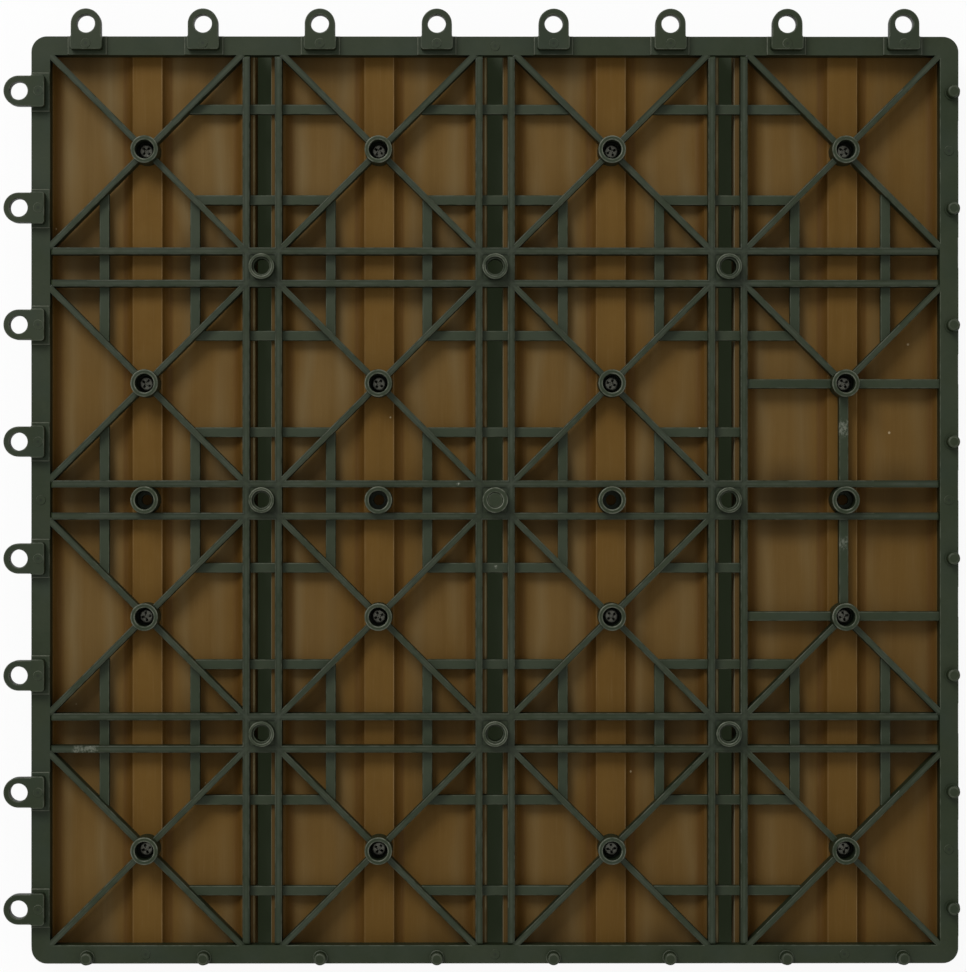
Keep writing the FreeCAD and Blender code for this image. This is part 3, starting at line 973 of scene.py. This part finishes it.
def cross_cutter():
    """The tapered cross that is sunk into a screw's head."""
    work = bmesh.new()
    above_head = HEAD_HEIGHT + 0.3 * MM
    for turn in (0, math.pi / 2):
        made = bmesh.ops.create_cube(work, size=1.0)["verts"]
        for vert in made:
            high = vert.co.z > 0
            length, width = RECESS_TOP if high else RECESS_BOTTOM
            z = above_head if high else RECESS_FLOOR
            vert.co = Vector((vert.co.x * length, vert.co.y * width, z))
        bmesh.ops.rotate(work, verts=made, cent=(0, 0, 0), matrix=Matrix.Rotation(turn, 3, "Z"))
    mesh = bpy.data.meshes.new("cross_cutter")
    work.to_mesh(mesh)
    work.free()
    return mesh


def screw_mesh():
    """One deck screw, its head's underside at height 0: domed head, cross recess, shank, point."""
    dome = []
    for k in range(7):
        turn = math.pi / 2 * k / 6
        dome.append((HEAD_TOP_RADIUS + (HEAD_RADIUS - HEAD_TOP_RADIUS) * math.cos(turn),
                     HEAD_HEIGHT * (0.35 + 0.65 * math.sin(turn))))
    tip = -SCREW_LENGTH
    profile = [(0, tip), (SHANK_RADIUS * 0.25, tip + 0.1 * MM), (SHANK_RADIUS, tip + SCREW_POINT),
               (SHANK_RADIUS, 0), (HEAD_RADIUS - 0.15 * MM, 0), (HEAD_RADIUS, 0.15 * MM)]
    screw = new_object("screw", turned("screw", profile + dome + [(0, HEAD_HEIGHT)]))
    cutter = new_object("cutter", cross_cutter())
    cut = screw.modifiers.new("cross", "BOOLEAN")
    cut.operation = "DIFFERENCE"
    cut.object = cutter
    cut.use_self = True
    settle(screw)
    mesh = screw.data
    bpy.data.objects.remove(cutter)
    bpy.data.objects.remove(screw)
    return mesh


def screw_tree():
    """Sets one screw on a square grid of places, each with its own turn and a slight lean."""
    tree, given, out = new_group(
        "screw_pattern", "GeometryNodeTree",
        [("Screw", "NodeSocketGeometry", None), ("Row Count", "NodeSocketInt", 4),
         ("Spacing", "NodeSocketFloat", 0.075), ("Middle", "NodeSocketVector", None),
         ("Lean", "NodeSocketFloat", 0.02), ("Seed", "NodeSocketInt", 3),
         ("Finish", "NodeSocketMaterial", None)],
        [("Screws", "NodeSocketGeometry")])
    gaps = math_node(tree, "SUBTRACT", given["Row Count"], 1.0)
    side = times(tree, gaps, given["Spacing"])
    grid = put(tree, "GeometryNodeMeshGrid",
               {"Size X": side, "Size Y": side, "Vertices X": given["Row Count"],
                "Vertices Y": given["Row Count"]})
    places = put(tree, "GeometryNodeSetPosition",
                 {"Geometry": grid.outputs[0], "Offset": given["Middle"]})
    lean = given["Lean"]
    back = times(tree, lean, -1.0)
    least = put(tree, "ShaderNodeCombineXYZ", {"X": back, "Y": back}).outputs[0]
    most = put(tree, "ShaderNodeCombineXYZ", {"X": lean, "Y": lean, "Z": math.tau}).outputs[0]
    turn = put(tree, "FunctionNodeRandomValue", {0: least, 1: most, "Seed": given["Seed"]},
               data_type="FLOAT_VECTOR")
    many = put(tree, "GeometryNodeInstanceOnPoints",
               {"Points": places.outputs[0], "Instance": given["Screw"],
                "Rotation": turn.outputs[0]})
    real = put(tree, "GeometryNodeRealizeInstances", {"Geometry": many.outputs[0]})
    done = put(tree, "GeometryNodeSetMaterial",
               {"Geometry": real.outputs[0], "Material": given["Finish"]})
    tree.links.new(done.outputs[0], out["Screws"])
    return tree


def make_screws():
    """Sixteen deck screws in the wells of the bosses."""
    mesh = screw_mesh()
    soften(mesh, SCREW_ROUNDING, 1)
    screws = new_object("deck_screw_heads", mesh)
    middle = MIDDLE + Vector((0, 0, BOSS_FLOOR_Z))
    grow(screws, screw_tree(), {"Row Count": SLAT_COUNT, "Spacing": SLAT_PITCH, "Middle": middle,
                                "Lean": SCREW_LEAN, "Seed": 5, "Finish": SCREW_STEEL})
    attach(screws, "root")
    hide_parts("deck_screws")


# Marks that the moulding tool left

def marks_tree():
    """A low round button at each point. The attribute edge marks its sides, and pit its middle."""
    tree, given, out = new_group(
        "ejector_marks", "GeometryNodeTree",
        [("Places", "NodeSocketGeometry", None), ("Radius", "NodeSocketFloat", 0.0015),
         ("Height", "NodeSocketFloat", 0.0003), ("Finish", "NodeSocketMaterial", None)],
        [("Marks", "NodeSocketGeometry")])
    wide = math_node(tree, "ADD", given["Radius"], times(tree, given["Height"], 0.5))
    button = put(tree, "GeometryNodeMeshCone",
                 {"Vertices": 32, "Fill Segments": 3, "Radius Top": given["Radius"],
                  "Radius Bottom": wide, "Depth": given["Height"]})
    upward = parts_of(tree, tree.nodes.new("GeometryNodeInputNormal").outputs[0])["Z"]
    sides = math_node(tree, "LESS_THAN", upward, 0.9)
    marked = put(tree, "GeometryNodeStoreNamedAttribute",
                 {"Geometry": button.outputs[0], "Name": "edge", "Value": sides},
                 data_type="FLOAT", domain="FACE")
    position = tree.nodes.new("GeometryNodeInputPosition").outputs[0]
    flat = vector_math(tree, "MULTIPLY", position, (1, 1, 0)).outputs[0]
    outward = vector_math(tree, "LENGTH", flat).outputs["Value"]
    inner = math_node(tree, "LESS_THAN", outward, times(tree, given["Radius"], 0.4))
    marked = put(tree, "GeometryNodeStoreNamedAttribute",
                 {"Geometry": marked.outputs[0], "Name": "pit", "Value": inner},
                 data_type="FLOAT", domain="FACE")
    points = put(tree, "GeometryNodeMeshToPoints", {"Mesh": given["Places"]})
    many = put(tree, "GeometryNodeInstanceOnPoints",
               {"Points": points.outputs[0], "Instance": marked.outputs[0]})
    real = put(tree, "GeometryNodeRealizeInstances", {"Geometry": many.outputs[0]})
    done = put(tree, "GeometryNodeSetMaterial",
               {"Geometry": real.outputs[0], "Material": given["Finish"]})
    tree.links.new(done.outputs[0], out["Marks"])
    return tree


def make_marks():
    """Round ejector marks along the border, where no pad covers it, and one on each pad."""
    line = SLAT_PITCH * 1.5
    level = RIB_Z - 0.02 * MM
    pad_level = PAD_Z - 0.05 * MM
    places = [(MARK_LINE, y, level) for y in (-line, 0, line)]
    places += [(x, -MARK_LINE, level) for x in (-line, 0, line)]
    places += [(-MARK_LINE, 0, level), (0, MARK_LINE, level)]
    for i in range(CLIP_COUNT):
        clip = (i - (CLIP_COUNT - 1) / 2) * SLAT_PITCH / 2
        places += [(clip, PAD_MARK_LINE, pad_level), (-PAD_MARK_LINE, clip, pad_level)]
    mesh = bpy.data.meshes.new("ejector_marks")
    points = [Vector(place) + MIDDLE for place in places]
    mesh.from_pydata(points, [], [])
    marks = new_object("ejector_marks", mesh)
    grow(marks, marks_tree(), {"Radius": MARK_RADIUS, "Height": MARK_HEIGHT,
                               "Finish": BASE_PLASTIC})
    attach(marks, "root")


# Floor, light and camera

def make_floor():
    """A plain pale floor under the deck face."""
    mesh = bpy.data.meshes.new("floor")
    corners = [(x * FLOOR_HALF, y * FLOOR_HALF, FLOOR_Z)
               for x, y in ((-1, -1), (1, -1), (1, 1), (-1, 1))]
    mesh.from_pydata(corners, [], [(0, 1, 2, 3)])
    mesh.materials.append(make_floor_finish())
    new_object("floor", mesh)


def make_light():
    """A pale surround, brightest overhead and white to the camera, and one broad soft lamp to the
    upper left."""
    world = bpy.data.worlds.new("surround")
    bpy.context.scene.world = world
    world.use_nodes = True
    tree = world.node_tree
    plain = tree.nodes["Background"]
    plain.inputs["Color"].default_value = WHITE
    way = parts_of(tree, tree.nodes.new("ShaderNodeTexCoord").outputs["Generated"])["Z"]
    tree.links.new(spread(tree, way, 0.0, 1.0, SKY_LOW, SKY_HIGH), plain.inputs["Strength"])
    path = tree.nodes.new("ShaderNodeLightPath").outputs
    white = put(tree, "ShaderNodeBackground", {"Color": WHITE, "Strength": 1.0})
    both = put(tree, "ShaderNodeMixShader",
               {0: path["Is Camera Ray"], 1: plain.outputs[0], 2: white.outputs[0]})
    tree.links.new(both.outputs[0], tree.nodes["World Output"].inputs["Surface"])
    lamp = bpy.data.lights.new("soft_lamp", "AREA")
    lamp.shape = "DISK"
    lamp.size = LAMP_SIZE
    lamp.energy = LAMP_POWER
    holder = bpy.data.objects.new("soft_lamp", lamp)
    bpy.context.scene.collection.objects.link(holder)
    holder.location = LAMP_PLACE
    holder.rotation_euler = (-holder.location).to_track_quat("-Z", "Y").to_euler()


def make_camera():
    """Looks down on the base from almost straight above, with Y up in the picture."""
    lens = bpy.data.cameras.new("camera")
    lens.sensor_width = 36.0
    lens.lens = LENS
    lens.clip_start = 0.01
    lens.clip_end = 50.0
    camera = bpy.data.objects.new("camera", lens)
    bpy.context.scene.collection.objects.link(camera)
    camera.location = CAMERA_PLACE
    backwards = (CAMERA_PLACE - CAMERA_TARGET).normalized()
    rightwards = Vector((0, 1, 0)).cross(backwards).normalized()
    upwards = backwards.cross(rightwards)
    turn = Matrix((rightwards, upwards, backwards)).transposed()
    camera.rotation_euler = turn.to_euler()
    bpy.context.scene.camera = camera


make_base()
make_slats()
make_screws()
make_marks()
make_floor()
make_light()
make_camera()
bpy.context.scene.view_settings.view_transform = "Standard"
